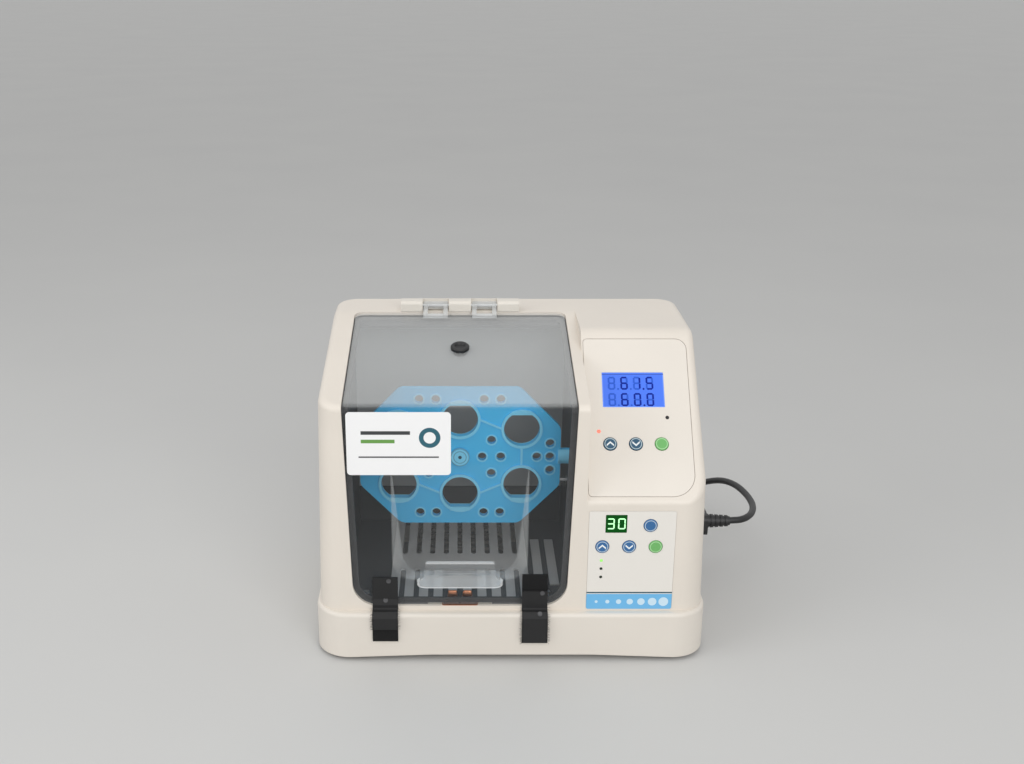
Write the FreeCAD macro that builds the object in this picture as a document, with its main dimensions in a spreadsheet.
import FreeCAD, Part
import Sketcher
import math
import os

# An incubated tube rotator: a heated chamber with a clear lid, a rotor plate that turns tubes end over
# end, and a control tower. Millimetres, Z up, X to the right, the front faces -Y.

doc = FreeCAD.newDocument("tube_rotator")
sheet = doc.addObject("Spreadsheet::Sheet", "sizes")

SIZES = {
    # base tray and feet
    "base_width": 317, "base_depth": 210, "foot_height": 3, "base_top": 42, "base_corner": 28,
    "base_wall": 3, "base_rim": 3, "skirt_lift": 3, "base_floor": 2.5, "rim_land": 12.5,
    "front_ledge": 7, "side_ledge": 3, "skirt_arch": 2.4, "foot_radius": 9, "foot_inset_x": 27,
    "foot_inset_y": 28, "plate_thickness": 1.5, "plate_margin": 16,
    # upper casing
    "casing_top": 250, "casing_wall": 3, "casing_draft": 5, "casing_corner": 19,
    "casing_round": 6,
    "bend_height": 216.5, "rear_shelf": 60.5, "knee_height": 136.4, "slope_rise": 1.207,
    "step_x": 58, "knee_round": 15,
    # chamber and lid
    "chamber_x": -41.5, "chamber_half": 92.6, "chamber_rear": 39, "liner_wall": 2.5, "floor_height": 44,
    "lid_sink": 1.2, "lid_wall": 3, "lid_half": 90, "lid_half_low": 84.6, "lid_foot": 47,
    "lid_back_gap": 2.5, "lid_corner": 19, "lid_bend": 8, "lid_gap": 0.9, "seal_thickness": 2,
    "seal_gap": 0.3, "seal_inset": 4, "seal_outset": 3.3,
    # finger recess and handle
    "recess_half": 53.5, "recess_top": 168, "recess_foot": 70, "recess_depth": 12, "recess_corner": 16,
    "recess_inset": 8.5, "handle_half": 29, "handle_flare": 5, "handle_thickness": 3,
    "handle_upright": 9.5, "handle_reach": 8,
    # hinge
    "hinge_rise": 4, "hinge_setback": 6.3, "hinge_half": 51, "hinge_block_depth": 12,
    "hinge_block_rise": 9, "pin_radius": 1.5, "clip_spacing": 42, "clip_width": 21, "clip_arm": 3.8,
    "clip_barrel": 3.4, "clip_notch_gap": 0.8,
    # vent plug, label and straps
    "vent_radius": 7.7, "vent_stem": 5.5, "vent_depth": 87.5, "vent_cap": 3.2, "label_left": 87.6,
    "label_right": 7, "label_low": 160, "label_high": 212, "label_thickness": 0.3,
    "strap_spacing": 120, "strap_width": 20.5, "strap_thickness": 1.6, "pad_thickness": 1.5,
    # catch
    "catch_half": 26, "catch_thickness": 2.1, "catch_depth": 13, "spring_half": 14.5,
    # rotor
    "rotor_depth": 85, "rotor_height": 144.6, "rotor_half": 84, "rotor_side": 26, "rotor_shoulder": 50,
    "rotor_rise": 61, "rotor_thickness": 4, "rim_thickness": 7.4, "tube_hole": 15, "tube_rim": 17.2,
    "tube_flat": 12.6, "tube_x": 51.5, "tube_z": 24.8, "tube_mid_z": 33.2, "small_hole": 3.65,
    "small_rim": 4.9, "hub_radius": 7.9, "hub_thickness": 9, "boss_radius": 6.7, "boss_length": 7.9,
    # drive
    "axle_radius": 4, "running_gap": 0.06, "bearing_radius": 11, "bearing_width": 7,
    "bracket_x": 72, "bracket_thickness": 3, "bracket_half": 24, "motor_height": 75,
    "motor_radius": 18.5, "motor_length": 60, "motor_shaft": 3, "pulley_width": 9, "pulley_x": 60.2,
    "drive_pulley": 20, "motor_pulley": 8, "belt_width": 6, "belt_thickness": 1.4, "belt_gap": 0.3,
    # warm air
    "fan_size": 60, "fan_height": 15, "fan_seat": 19, "fan_depth": 133, "fan_bore": 28,
    "fan_hub": 11, "heater_radius": 2.5, "slot_pitch": 12, "slot_width": 4.5, "grille_thickness": 1.5,
    "standoff_radius": 4,
    # control panels
    "panel_thickness": 1.6, "panel_left": 59.5, "panel_right": 143.5, "panel_low": 5.5,
    "panel_high": 139, "panel_gap": 0.4, "overlay_left": 60, "overlay_right": 128.5,
    "overlay_low": 43.5, "overlay_high": 129.6, "overlay_thickness": 0.8, "overlay_recess": 0.5,
    "key_radius": 5.3, "key_travel": 0.5, "key_gap": 0.35, "board_depth": 11.6, "board_thickness": 1.6,
    # mains side
    "inlet_depth": 150, "inlet_height": 53.5, "inlet_width": 30, "inlet_tall": 22,
    "connector_width": 24, "connector_tall": 16, "boot_reach": 46, "cord_radius": 3.1,
    "switch_depth": 116, "switch_width": 22, "switch_tall": 16, "rocker_radius": 5.6,
    "coil_inset": 51, "coil_behind": 52.3, "coil_radius": 43.7, "coil_inner": 28.2, "coil_height": 12.6,
}


class Size:
    """A length together with the spreadsheet formula that gives it."""

    def __init__(self, value, text):
        self.value = float(value)
        self.text = text

    def __float__(self):
        return self.value

    def __add__(self, other):
        other = as_size(other)
        return Size(self.value + other.value, "(%s + %s)" % (self.text, other.text))

    def __sub__(self, other):
        other = as_size(other)
        return Size(self.value - other.value, "(%s - %s)" % (self.text, other.text))

    def __mul__(self, other):
        other = as_size(other)
        return Size(self.value * other.value, "(%s * %s)" % (self.text, other.text))

    def __truediv__(self, other):
        other = as_size(other)
        return Size(self.value / other.value, "(%s / %s)" % (self.text, other.text))

    def __neg__(self):
        return Size(-self.value, "(0 - %s)" % self.text)

    __radd__ = __add__

    def __rmul__(self, other):
        return self * other

    def __rsub__(self, other):
        return as_size(other) - self


def as_size(number):
    return number if isinstance(number, Size) else Size(number, "%.6f" % number)


class Named:
    """The spreadsheet's sizes by name."""


at = Named()
for row, (alias, number) in enumerate(SIZES.items(), 1):
    sheet.set("A%d" % row, alias)
    sheet.set("B%d" % row, str(number))
    sheet.setAlias("B%d" % row, alias)
    setattr(at, alias, Size(number, "sizes.%s" % alias))
doc.recompute()

# Sizes that follow from the base: sideways places grow with its width, the slant, lid and chamber with
# its depth, and the cord's places with its sides
DRAWN_WIDTH = 317
stretch = at.base_width / DRAWN_WIDTH
for name in ("chamber_x", "step_x", "chamber_half", "lid_half", "lid_half_low", "label_left", "rotor_half",
             "rotor_shoulder", "tube_x", "bracket_x", "pulley_x", "panel_left", "panel_right",
             "overlay_left", "overlay_right"):
    setattr(at, name, getattr(at, name) * stretch)
at.slant_depth = at.base_depth - at.rear_shelf
at.lid_reach = at.slant_depth - at.lid_back_gap
at.chamber_back = at.base_depth - at.chamber_rear
at.boot_end = at.base_width / 2 + at.boot_reach
at.coil_x = at.base_width / 2 - at.coil_inset
at.coil_y = (at.handle_reach + at.base_depth) / 2 + at.coil_behind


def sideways(x):
    """A place across the machine, drawn for its full width."""
    return stretch * x


# Building functions: every one takes Size values and binds them to the sheet.

def bind(item, path, size):
    item.setExpression(path, as_size(size).text)


def vector(x, y, z):
    return FreeCAD.Vector(float(x), float(y), float(z))


UP = FreeCAD.Rotation()
ALONG_X = FreeCAD.Rotation(vector(0, 0, 1), vector(1, 0, 0))
ALONG_FRONT = FreeCAD.Rotation(vector(1, 0, 0), 90)


def put(item, spot, turn=UP):
    """Stand an item at a spot given by three sizes, turned by a fixed rotation."""
    item.Placement = FreeCAD.Placement(vector(*spot), turn)
    for axis, size in zip("xyz", spot):
        bind(item, "Placement.Base." + axis, size)
    return item


def outline(sketch, corners):
    """A closed loop of lines through (u, v) corners, or (u, v, radius) where a corner is rounded."""
    spots = [vector(corner[0], corner[1], 0) for corner in corners]
    count = len(corners)
    ends = []
    for i, corner in enumerate(corners):
        run = 0
        before = (spots[i - 1] - spots[i]).normalize()
        after = (spots[(i + 1) % count] - spots[i]).normalize()
        if len(corner) > 2:
            run = float(corner[2]) / math.tan(before.getAngle(after) / 2)
        ends.append((spots[i] + before * run, spots[i] + after * run))
    lines = [sketch.addGeometry(Part.LineSegment(ends[i][1], ends[(i + 1) % count][0]))
             for i in range(count)]
    for i, corner in enumerate(corners):
        before, after = lines[i - 1], lines[i]
        if len(corner) == 2:
            sketch.addConstraint(Sketcher.Constraint("Coincident", before, 2, after, 1))
            fix(sketch, after, 1, corner)
            continue
        tip = sketch.addGeometry(Part.Point(spots[i]), True)
        fix(sketch, tip, 1, corner)
        sketch.addConstraint(Sketcher.Constraint("PointOnObject", tip, 1, before))
        sketch.addConstraint(Sketcher.Constraint("PointOnObject", tip, 1, after))
        into = spots[i] - spots[i - 1]
        out = spots[(i + 1) % count] - spots[i]
        left = into.cross(out).z > 0
        side = vector(-into.y, into.x, 0).normalize() * (1 if left else -1)
        centre = ends[i][0] + side * float(corner[2])
        first, last = ends[i] if left else ends[i][::-1]
        circle = Part.Circle(centre, vector(0, 0, 1), float(corner[2]))
        start = math.atan2(first.y - centre.y, first.x - centre.x)
        stop = math.atan2(last.y - centre.y, last.x - centre.x)
        arc = sketch.addGeometry(Part.ArcOfCircle(circle, start, stop))
        sketch.addConstraint(Sketcher.Constraint("Tangent", before, 2, arc, 1 if left else 2))
        sketch.addConstraint(Sketcher.Constraint("Tangent", after, 1, arc, 2 if left else 1))
        rule = sketch.addConstraint(Sketcher.Constraint("Radius", arc, float(corner[2])))
        bind(sketch, "Constraints[%d]" % rule, corner[2])


def fix(sketch, item, end, spot):
    for kind, size in (("DistanceX", spot[0]), ("DistanceY", spot[1])):
        rule = sketch.addConstraint(Sketcher.Constraint(kind, item, end, float(size)))
        bind(sketch, "Constraints[%d]" % rule, size)


def ring(sketch, u, v, radius):
    item = sketch.addGeometry(Part.Circle(vector(u, v, 0), vector(0, 0, 1), float(radius)))
    fix(sketch, item, 3, (u, v))
    rule = sketch.addConstraint(Sketcher.Constraint("Radius", item, float(radius)))
    bind(sketch, "Constraints[%d]" % rule, radius)


def new_body(label):
    body = doc.addObject("PartDesign::Body", label)
    body.Label = label
    return body


def sketch_on(body, plane, start, loops, rings):
    sketch = body.newObject("Sketcher::SketchObject", body.Name + "_sketch")
    origin_planes = body.Origin.OriginFeatures
    sketch.AttachmentSupport = (next(p for p in origin_planes if p.Role == plane + "_Plane"), "")
    sketch.MapMode = "FlatFace"
    bind(sketch, "AttachmentOffset.Base.z", -as_size(start) if plane == "XZ" else start)
    for corners in loops:
        outline(sketch, corners)
    for spot in rings:
        ring(sketch, *spot)
    sketch.Visibility = False
    return sketch


def pad(body, plane, start, length, loops=(), rings=()):
    """Add material from start along the plane's axis, +X, +Y or +Z."""
    sketch = sketch_on(body, plane, start, loops, rings)
    feature = body.newObject("PartDesign::Pad", body.Name + "_pad")
    feature.Profile = sketch
    bind(feature, "Length", length)
    feature.Reversed = plane == "XZ"
    return body


def pocket(body, plane, start, length, loops=(), rings=()):
    """Remove material from start along the plane's axis, and make sure that some went."""
    doc.recompute()
    before = body.Shape.Volume
    sketch = sketch_on(body, plane, start, loops, rings)
    feature = body.newObject("PartDesign::Pocket", body.Name + "_pocket")
    feature.Profile = sketch
    bind(feature, "Length", length)
    feature.Reversed = plane != "XZ"
    doc.recompute()
    if body.Shape.Volume > before - 0.01:
        raise RuntimeError("pocket cut nothing in " + body.Label)
    return body


def repeat_across(body, spacing, count):
    """Repeat the last feature of a body along X, count copies in all."""
    cutter = body.Tip
    feature = body.newObject("PartDesign::LinearPattern", body.Name + "_pattern")
    feature.Originals = [cutter]
    feature.Direction = (cutter.Profile[0], ["H_Axis"])
    bind(feature, "Length", spacing * (count - 1))
    feature.Occurrences = count
    body.Tip = feature
    doc.recompute()
    return body


def fillet(body, radius, chosen):
    """Round the chosen edges of a body."""
    doc.recompute()
    base = body.Tip
    names = ["Edge%d" % (i + 1) for i, edge in enumerate(base.Shape.Edges) if chosen(edge)]
    feature = body.newObject("PartDesign::Fillet", body.Name + "_fillet")
    feature.Base = (base, names)
    bind(feature, "Radius", radius)
    doc.recompute()
    return body


def turned(label, profile, spot=(0, 0, 0), turn=UP, frame=None):
    """A round piece: a profile of (radius, height) corners turned about its own axis."""
    body = new_body(label)
    sketch = sketch_on(body, "XZ", 0, [profile], [])
    feature = body.newObject("PartDesign::Revolution", label + "_turn")
    feature.Profile = sketch
    feature.ReferenceAxis = (sketch, ["V_Axis"])
    feature.Angle = 360
    if frame is None:
        return put(body, spot, turn)
    body.Placement = frame.multiply(FreeCAD.Placement(vector(*spot), turn))
    return body


def rod(radius, low, high):
    return [(0, low), (radius, low), (radius, high), (0, high)]


def rect(u1, v1, u2, v2, radius=None):
    corners = [(u1, v1), (u2, v1), (u2, v2), (u1, v2)]
    return corners if radius is None else [corner + (radius,) for corner in corners]


def box(label, low, size, frame=None):
    item = doc.addObject("Part::Box", label)
    item.Label = label
    for name, length in zip(("Length", "Width", "Height"), size):
        bind(item, name, length)
    if frame is None:
        return put(item, low)
    item.Placement = frame.multiply(FreeCAD.Placement(vector(*low), UP))
    return item


def cylinder(label, radius, length, spot, turn=UP):
    item = doc.addObject("Part::Cylinder", label)
    item.Label = label
    bind(item, "Radius", radius)
    bind(item, "Height", length)
    return put(item, spot, turn)


def together(kind, label, items):
    item = doc.addObject(kind, label)
    item.Label = label
    if kind == "Part::Compound":
        item.Links = items
    else:
        item.Shapes = items
    return item


def fuse(label, *items):
    return together("Part::MultiFuse", label, list(items))


def common(label, *items):
    return together("Part::MultiCommon", label, list(items))


def group(label, *items):
    return together("Part::Compound", label, list(items))


def cut(label, base, *tools):
    item = doc.addObject("Part::Cut", label)
    item.Label = label
    item.Base = base
    item.Tool = tools[0] if len(tools) == 1 else fuse(label + "_tools", *tools)
    return item


nodes = []


def keep(*items):
    nodes.extend(items)


# Places that many pieces share
front = (at.handle_reach - at.base_depth) / 2
rear = front + at.base_depth
half_width = at.base_width / 2
casing_front = front + at.front_ledge
casing_rear = rear - at.front_ledge
casing_half = half_width - at.side_ledge
slant = (at.casing_top - at.bend_height) / at.slant_depth
lid_front = casing_front + at.lid_sink
floor_under = at.floor_height - at.liner_wall
plate_floor = at.foot_height + at.skirt_lift + at.base_floor
plate_top = plate_floor + at.plate_thickness


def root_of_slope(slope):
    return Size(math.sqrt(1 + slope.value ** 2), "sqrt(1 + %s * %s)" % (slope.text, slope.text))


slant_stretch = root_of_slope(slant)
slope_stretch = root_of_slope(at.slope_rise)


# Base tray: a moulded tray with a skirt, a floor and an inward land that carries the casing
def tray_plan(inset):
    return rect(-half_width + inset, front + inset, half_width - inset, rear - inset,
                at.base_corner - inset)


tray_floor = at.foot_height + at.skirt_lift
base = new_body("base_tray")
pad(base, "XY", at.foot_height, at.base_top - at.foot_height, [tray_plan(0)])
fillet(base, at.base_rim, lambda e: e.BoundBox.ZMin > float(at.base_top) - 0.01)
pocket(base, "XY", at.foot_height, at.skirt_lift, [tray_plan(at.base_wall)])
pocket(base, "XY", tray_floor + at.base_floor, at.base_top - tray_floor - at.base_floor - at.base_wall,
       [tray_plan(at.base_wall)])
pocket(base, "XY", at.base_top - at.base_wall, at.base_wall, [tray_plan(at.rim_land)])
arch_half = half_width - at.base_corner
pocket(base, "XZ", front, at.base_wall,
       [[(-arch_half, at.foot_height), (arch_half, at.foot_height),
         (arch_half / 2, at.foot_height + at.skirt_arch, at.base_width),
         (-arch_half / 2, at.foot_height + at.skirt_arch, at.base_width)]])

foot_x = half_width - at.foot_inset_x
foot_y = [front + at.foot_inset_y, rear - at.foot_inset_y]
screw_x = half_width - at.foot_inset_x - at.plate_margin
screw_spots = [(side * screw_x, y) for side in (-1, 1) for y in foot_y]
pocket(base, "XY", tray_floor, at.base_floor, [], [(x, y, 2.1) for x, y in screw_spots])
keep(base)

feet = [turned("foot_%d" % i, [(0, 0), (at.foot_radius - 1.2, 0), (at.foot_radius, tray_floor - 1.5),
                               (at.foot_radius, tray_floor), (0, tray_floor)],
               (side * foot_x, y, 0))
        for i, (side, y) in enumerate([(s, y) for s in (-1, 1) for y in foot_y])]
keep(group("rubber_feet", *feet))

# Chassis plate: sheet steel on the tray floor, held by four screws
chassis = new_body("chassis_plate")
pad(chassis, "XY", plate_floor, at.plate_thickness,
    [rect(-half_width + at.plate_margin, front + at.plate_margin,
          half_width - at.plate_margin, rear - at.plate_margin, at.base_corner / 2)],
    [(x, y, 2.1) for x, y in screw_spots])
keep(chassis)
screws = [turned("chassis_screw_%d" % i, [(0, tray_floor), (2, tray_floor), (2, plate_top),
                                          (4, plate_top), (4, plate_top + 1.6), (3, plate_top + 2.4),
                                          (0, plate_top + 2.4)], (x, y, 0))
          for i, (x, y) in enumerate(screw_spots)]
keep(group("chassis_screws", *screws))


# Upper casing: a chamber block with a slanted top and a tower block with a steep control slope,
# joined at the step and hollowed from below
def casing_block(label, inset, profile):
    half = casing_half - inset
    narrow = half - at.casing_draft
    peak = at.casing_top - inset
    low = at.base_top - inset * 1.5
    block = new_body(label)
    pad(block, "XZ", casing_front + inset, casing_rear - casing_front - 2 * as_size(inset),
        [[(-half, low), (half, low), (narrow, peak + 12), (-narrow, peak + 12)]])
    fillet(block, at.casing_corner - inset,
           lambda e: e.BoundBox.ZLength > 100 and e.BoundBox.YLength < 0.01)
    pocket(block, "YZ", -half_width, at.base_width, [profile])

    def rim(edge):
        middle = edge.valueAt((edge.FirstParameter + edge.LastParameter) / 2)
        if middle.z < float(low) + 1 or edge.BoundBox.ZLength > 150:
            return False
        faces = block.Tip.Shape.ancestorsOfType(edge, Part.Face)
        normals = [face.normalAt(*face.Surface.parameter(middle)) for face in faces]
        return len(normals) == 2 and normals[0].getAngle(normals[1]) > math.radians(22)

    fillet(block, at.casing_round - inset, rim)
    return block


def chamber_profile(inset):
    """The region above the slanted top, which is cut away."""
    drop = inset * slant_stretch - inset * slant
    line = at.bend_height - drop
    ahead = casing_front + inset - 6
    turn = casing_front + at.slant_depth
    return [(ahead, line - 6 * slant), (turn, line + (at.slant_depth - inset) * slant, 60),
            (casing_rear + 6, at.casing_top - inset), (casing_rear + 6, at.casing_top + 16),
            (ahead, at.casing_top + 16)]


def tower_profile(inset):
    """The region above the control slope, which is cut away."""
    drop = inset * slope_stretch - inset * at.slope_rise
    line = at.knee_height - drop
    ahead = casing_front + inset - 6
    run = (at.casing_top - inset - line) / at.slope_rise
    return [(ahead, line - 6 * at.slope_rise), (casing_front + inset + run, at.casing_top - inset,
                                                at.knee_round - inset / 2),
            (casing_rear + 6, at.casing_top - inset), (casing_rear + 6, at.casing_top + 16),
            (ahead, at.casing_top + 16)]


def casing_form(label, inset):
    """Both blocks up to the step, and the space they share on either side of it."""
    tall = at.casing_top + 20
    chamber = casing_block(label + "_chamber", inset, chamber_profile(inset))
    tower = casing_block(label + "_tower", inset, tower_profile(inset))

    def range_box(name, start, width):
        return box(label + name, (start, front, 0), (width, at.base_depth, tall))

    left = common(label + "_left", chamber,
                  range_box("_left_range", -half_width, half_width + at.step_x - inset))
    right = common(label + "_right", tower,
                   range_box("_right_range", at.step_x + inset, half_width - at.step_x - inset))
    shared = common(label + "_shared", chamber, tower, range_box("_shared_range", at.step_x - 6, 12))
    return fuse(label, left, right, shared)


casing_shell = cut("casing_shell", casing_form("casing_outside", as_size(0)),
                   casing_form("casing_inside", at.casing_wall))


# Lid opening through the casing: the lid's own outline with a gap all round
def lid_plan(gap, low, high):
    """The lid seen from the front: narrow at the foot with rounded corners, full width above the bend."""
    foot = at.lid_foot - gap
    narrow = at.lid_half_low + gap
    wide = at.lid_half + gap
    return [(at.chamber_x - narrow, foot, at.lid_corner + gap),
            (at.chamber_x + narrow, foot, at.lid_corner + gap),
            (at.chamber_x + wide, at.bend_height), (at.chamber_x + wide, high),
            (at.chamber_x - wide, high), (at.chamber_x - wide, at.bend_height)]


def lid_outline(label, gap, reach, ahead):
    """A prism of the lid's front outline, rounded at its rear corners in plan."""
    body = new_body(label)
    tall = at.casing_top + 15
    pad(body, "XZ", lid_front - ahead, reach + ahead, [lid_plan(gap, 0, tall)])
    ends = float(lid_front + reach)
    fillet(body, 8, lambda e: e.BoundBox.XLength < 0.01 and e.BoundBox.ZLength > 1
           and e.BoundBox.YMin > ends - 0.01)
    return body


opening = lid_outline("lid_opening", at.lid_gap, at.lid_reach + at.lid_gap, at.lid_sink + 5)

# Frames of the two control panels: local X to the right, local Y up the face, local Z out of it
slope_turn = FreeCAD.Rotation(vector(1, 0, 0), math.degrees(math.atan(float(at.slope_rise))))
slope_frame = FreeCAD.Placement(vector(0, casing_front, at.knee_height), slope_turn)
front_frame = FreeCAD.Placement(vector(0, casing_front, 0), ALONG_FRONT)

# Places of keys, lamps and displays: (name, across, up, radius)
slope_keys = [("temp_up_key", sideways(78), 48.6), ("temp_down_key", sideways(98.5), 48.6),
              ("temp_start_key", sideways(119), 48.6)]
front_keys = [("mode_key", sideways(108.4), 117.4), ("speed_up_key", sideways(71.1), 99),
              ("speed_down_key", sideways(92.3), 99), ("speed_start_key", sideways(113.3), 99)]
slope_lamps = [(sideways(124.7), 70.9), (sideways(69.4), 59.2)]
front_lamps = [(sideways(70.8), z) for z in (86.8, 79.6, 72.2)]
lcd_window_size = (50, 30)
led_window_size = (17, 15.6)
lcd_low = (sideways(73.5), 79.7)
led_low = (sideways(73), 111)
lamp_radius = 1.5
small_lamp = 1.2


def framed_body(label, frame, low, length, loops, rings):
    body = new_body(label)
    pad(body, "XY", low, length, loops, rings)
    body.Placement = frame
    return body


panel_plan = [(at.panel_left, at.panel_low, 3), (at.panel_right, at.panel_low, 18),
              (at.panel_right, at.panel_high, 9), (at.panel_left, at.panel_high, 3)]


def grown(plan, gap):
    """A four-corner plan made larger by a gap on every side."""
    signs = [(-1, -1), (1, -1), (1, 1), (-1, 1)]
    return [(u + sx * gap, v + sy * gap, radius + gap)
            for (u, v, radius), (sx, sy) in zip(plan, signs)]


overlay_plan = rect(at.overlay_left, at.overlay_low, at.overlay_right, at.overlay_high, 1.5)
panel_recess = framed_body("panel_recess", slope_frame, -at.panel_thickness, at.panel_thickness + 4,
                           [grown(panel_plan, at.panel_gap)], [])
panel_window = framed_body("panel_window", slope_frame, -9, 9,
                           [rect(at.panel_left + 6, 38, at.panel_right - 7, 116, 3)], [])
overlay_recess = framed_body("overlay_recess", front_frame, -at.overlay_recess,
                             at.overlay_recess + 1, [grown(overlay_plan, 0.2)], [])
overlay_window = framed_body("overlay_window", front_frame, -9, 9,
                             [rect(at.overlay_left + 4, 65, at.overlay_right - 7, 127, 2)], [])

# Mains side of the casing: holes for the inlet and the switch, and louvres in the tower's back
inlet_y = front + at.inlet_depth
switch_y = front + at.switch_depth
side_x = casing_half - (at.inlet_height - at.base_top) * at.casing_draft / (
    at.casing_top + 12 - at.base_top)
inlet_hole = box("inlet_hole", (side_x - 12, inlet_y - at.inlet_width / 2 + 2,
                                at.inlet_height - at.inlet_tall / 2 + 2),
                 (20, at.inlet_width - 4, at.inlet_tall - 4))
switch_hole = box("switch_hole", (side_x - 12, switch_y - at.switch_width / 2 + 2,
                                  at.inlet_height - at.switch_tall / 2 + 1.2),
                  (20, at.switch_width - 4, at.switch_tall - 2.4))
inlet_seat = box("inlet_seat", (side_x - 0.6, inlet_y - at.inlet_width / 2 - 0.2,
                                at.inlet_height - at.inlet_tall / 2 - 0.2),
                 (10, at.inlet_width + 0.4, at.inlet_tall + 0.4))
switch_seat = box("switch_seat", (side_x - 0.6, switch_y - at.switch_width / 2 - 0.2,
                                  at.inlet_height - at.switch_tall / 2 - 0.2),
                  (10, at.switch_width + 0.4, at.switch_tall + 0.4))
louvres = [box("louvre_%d" % i, (70 + 9 * i, casing_rear - at.casing_wall - 1, 120),
               (3.5, at.casing_wall + 2, 45)) for i in range(7)]
casing = cut("upper_casing", casing_shell, opening, panel_recess, panel_window, overlay_recess,
             overlay_window, inlet_hole, switch_hole, inlet_seat, switch_seat, *louvres)
keep(casing)


# Chamber liner: one dark moulding, open at the front and under the lid, with air slots in its floor
def bent_line(inset, y):
    """Height at y of the lid's slanted face moved inwards by an inset."""
    start = lid_bend_height - inset * slant_stretch
    return start + (y - lid_front) * slant


lid_bend_height = at.bend_height + at.lid_sink * slant - at.lid_sink * slant_stretch
seal_back = at.lid_wall + at.seal_gap + at.seal_thickness
mouth = lid_front + seal_back
liner_back = front + at.chamber_back
liner_half = at.chamber_half + at.liner_wall
liner_end = liner_back + at.liner_wall
roof_edge = lid_front + at.lid_reach - at.seal_inset - 6
roof_top = at.casing_top - at.casing_wall - 0.5
level_from = lid_front + (roof_top - bent_line(seal_back, lid_front)) / slant
liner = new_body("chamber_liner")
pad(liner, "YZ", at.chamber_x - liner_half, 2 * liner_half,
    [[(mouth, floor_under), (liner_end, floor_under), (liner_end, roof_top), (level_from, roof_top),
      (mouth, bent_line(seal_back, mouth))]])
pocket(liner, "YZ", at.chamber_x - at.chamber_half, 2 * at.chamber_half,
       [[(mouth - 5, at.floor_height), (liner_back, at.floor_height),
         (liner_back, bent_line(seal_back + at.liner_wall, liner_back)),
         (roof_edge, bent_line(seal_back + at.liner_wall, roof_edge)),
         (roof_edge, bent_line(seal_back, roof_edge) + 9), (mouth - 5, bent_line(seal_back, mouth) + 9)]])


def slot_plan(place, y1, y2):
    """One air slot with rounded ends, counted from the chamber's middle."""
    middle = at.chamber_x + place * at.slot_pitch
    half = at.slot_width / 2
    return rect(middle - half, y1, middle + half, y2, half - 0.1)


slot_count = 9
pocket(liner, "XY", floor_under, at.liner_wall, [slot_plan(-4, front + 102, liner_back - 6)])
repeat_across(liner, at.slot_pitch, slot_count)
floor_screw_spots = [(at.chamber_x - 77, front + 32), (at.chamber_x + 72, front + 32)]
pocket(liner, "XY", floor_under, at.liner_wall, [], [(x, y, 1.6) for x, y in floor_screw_spots])
rotor_y = front + at.rotor_depth
bearing_hole = at.bearing_radius + 0.05
bush_hole = at.axle_radius + at.running_gap + 3
pocket(liner, "YZ", at.chamber_x - liner_half, at.liner_wall, [],
       [(rotor_y, at.rotor_height, bush_hole + 0.05)])
probe_y = rotor_y + 27
probe_z = at.rotor_height - 34
pocket(liner, "YZ", at.chamber_x + at.chamber_half, at.liner_wall, [],
       [(rotor_y, at.rotor_height, bearing_hole), (probe_y, probe_z, 2.05)])
keep(liner)

standoffs = [turned("standoff_%d" % i, rod(at.standoff_radius, plate_top, floor_under),
                    (at.chamber_x + side * (at.chamber_half - 12), y, 0))
             for i, (side, y) in enumerate([(s, y) for s in (-1, 1)
                                            for y in (mouth + 34, liner_back - 14)])]
keep(group("liner_standoffs", *standoffs))

# Floor grille: a grey comb plate with slots open at the back and fingers at the front, two loose
# strips on the right and two rounded pads behind the catch
comb_half = 58
comb = new_body("grille_comb")
pad(comb, "XY", at.floor_height, at.grille_thickness,
    [rect(at.chamber_x - comb_half, mouth + 1, at.chamber_x + comb_half, liner_back - 1)])
pocket(comb, "XY", at.floor_height, at.grille_thickness,
       [slot_plan(-4, front + 100, liner_back + 3)])
repeat_across(comb, at.slot_pitch, slot_count)
for first in (-4, 2):
    pocket(comb, "XY", at.floor_height, at.grille_thickness,
           [slot_plan(first, mouth - 4, front + 72)])
    repeat_across(comb, at.slot_pitch, 3)
pocket(comb, "XY", at.floor_height, at.grille_thickness,
       [rect(at.chamber_x - 1.2 * at.slot_pitch, mouth - 4, at.chamber_x + 1.2 * at.slot_pitch,
             front + 72, at.slot_width / 2 - 0.1)])
pocket(comb, "XY", at.floor_height, at.grille_thickness,
       [rect(at.chamber_x + side * 2 * at.slot_pitch - 10.4, mouth - 4,
             at.chamber_x + side * 2 * at.slot_pitch + 10.4, front + 21, 3) for side in (-1, 1)])
pads = [new_body("grille_pad_%d" % i) for i in range(2)]
for item, side in zip(pads, (-1, 1)):
    pad(item, "XY", at.floor_height, at.grille_thickness + 2,
        [rect(at.chamber_x + side * 6 - 3.6, front + 22, at.chamber_x + side * 6 + 3.6, front + 36, 3.4)])
strips = [box("grille_strip_%d" % i, (at.chamber_x + x - 3.8, front + 45, at.floor_height),
              (7.6, 83, at.grille_thickness)) for i, x in enumerate((66.5, 79))]
keep(group("floor_grille", comb, *pads, *strips))

floor_screws = [turned("floor_screw_%d" % i, [(0, floor_under - 4), (1.5, floor_under - 4),
                                              (1.5, at.floor_height), (3, at.floor_height),
                                              (2.4, at.floor_height + 1.8), (0, at.floor_height + 1.8)],
                       (x, y, 0)) for i, (x, y) in enumerate(floor_screw_spots)]
keep(group("floor_screws", *floor_screws))

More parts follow.
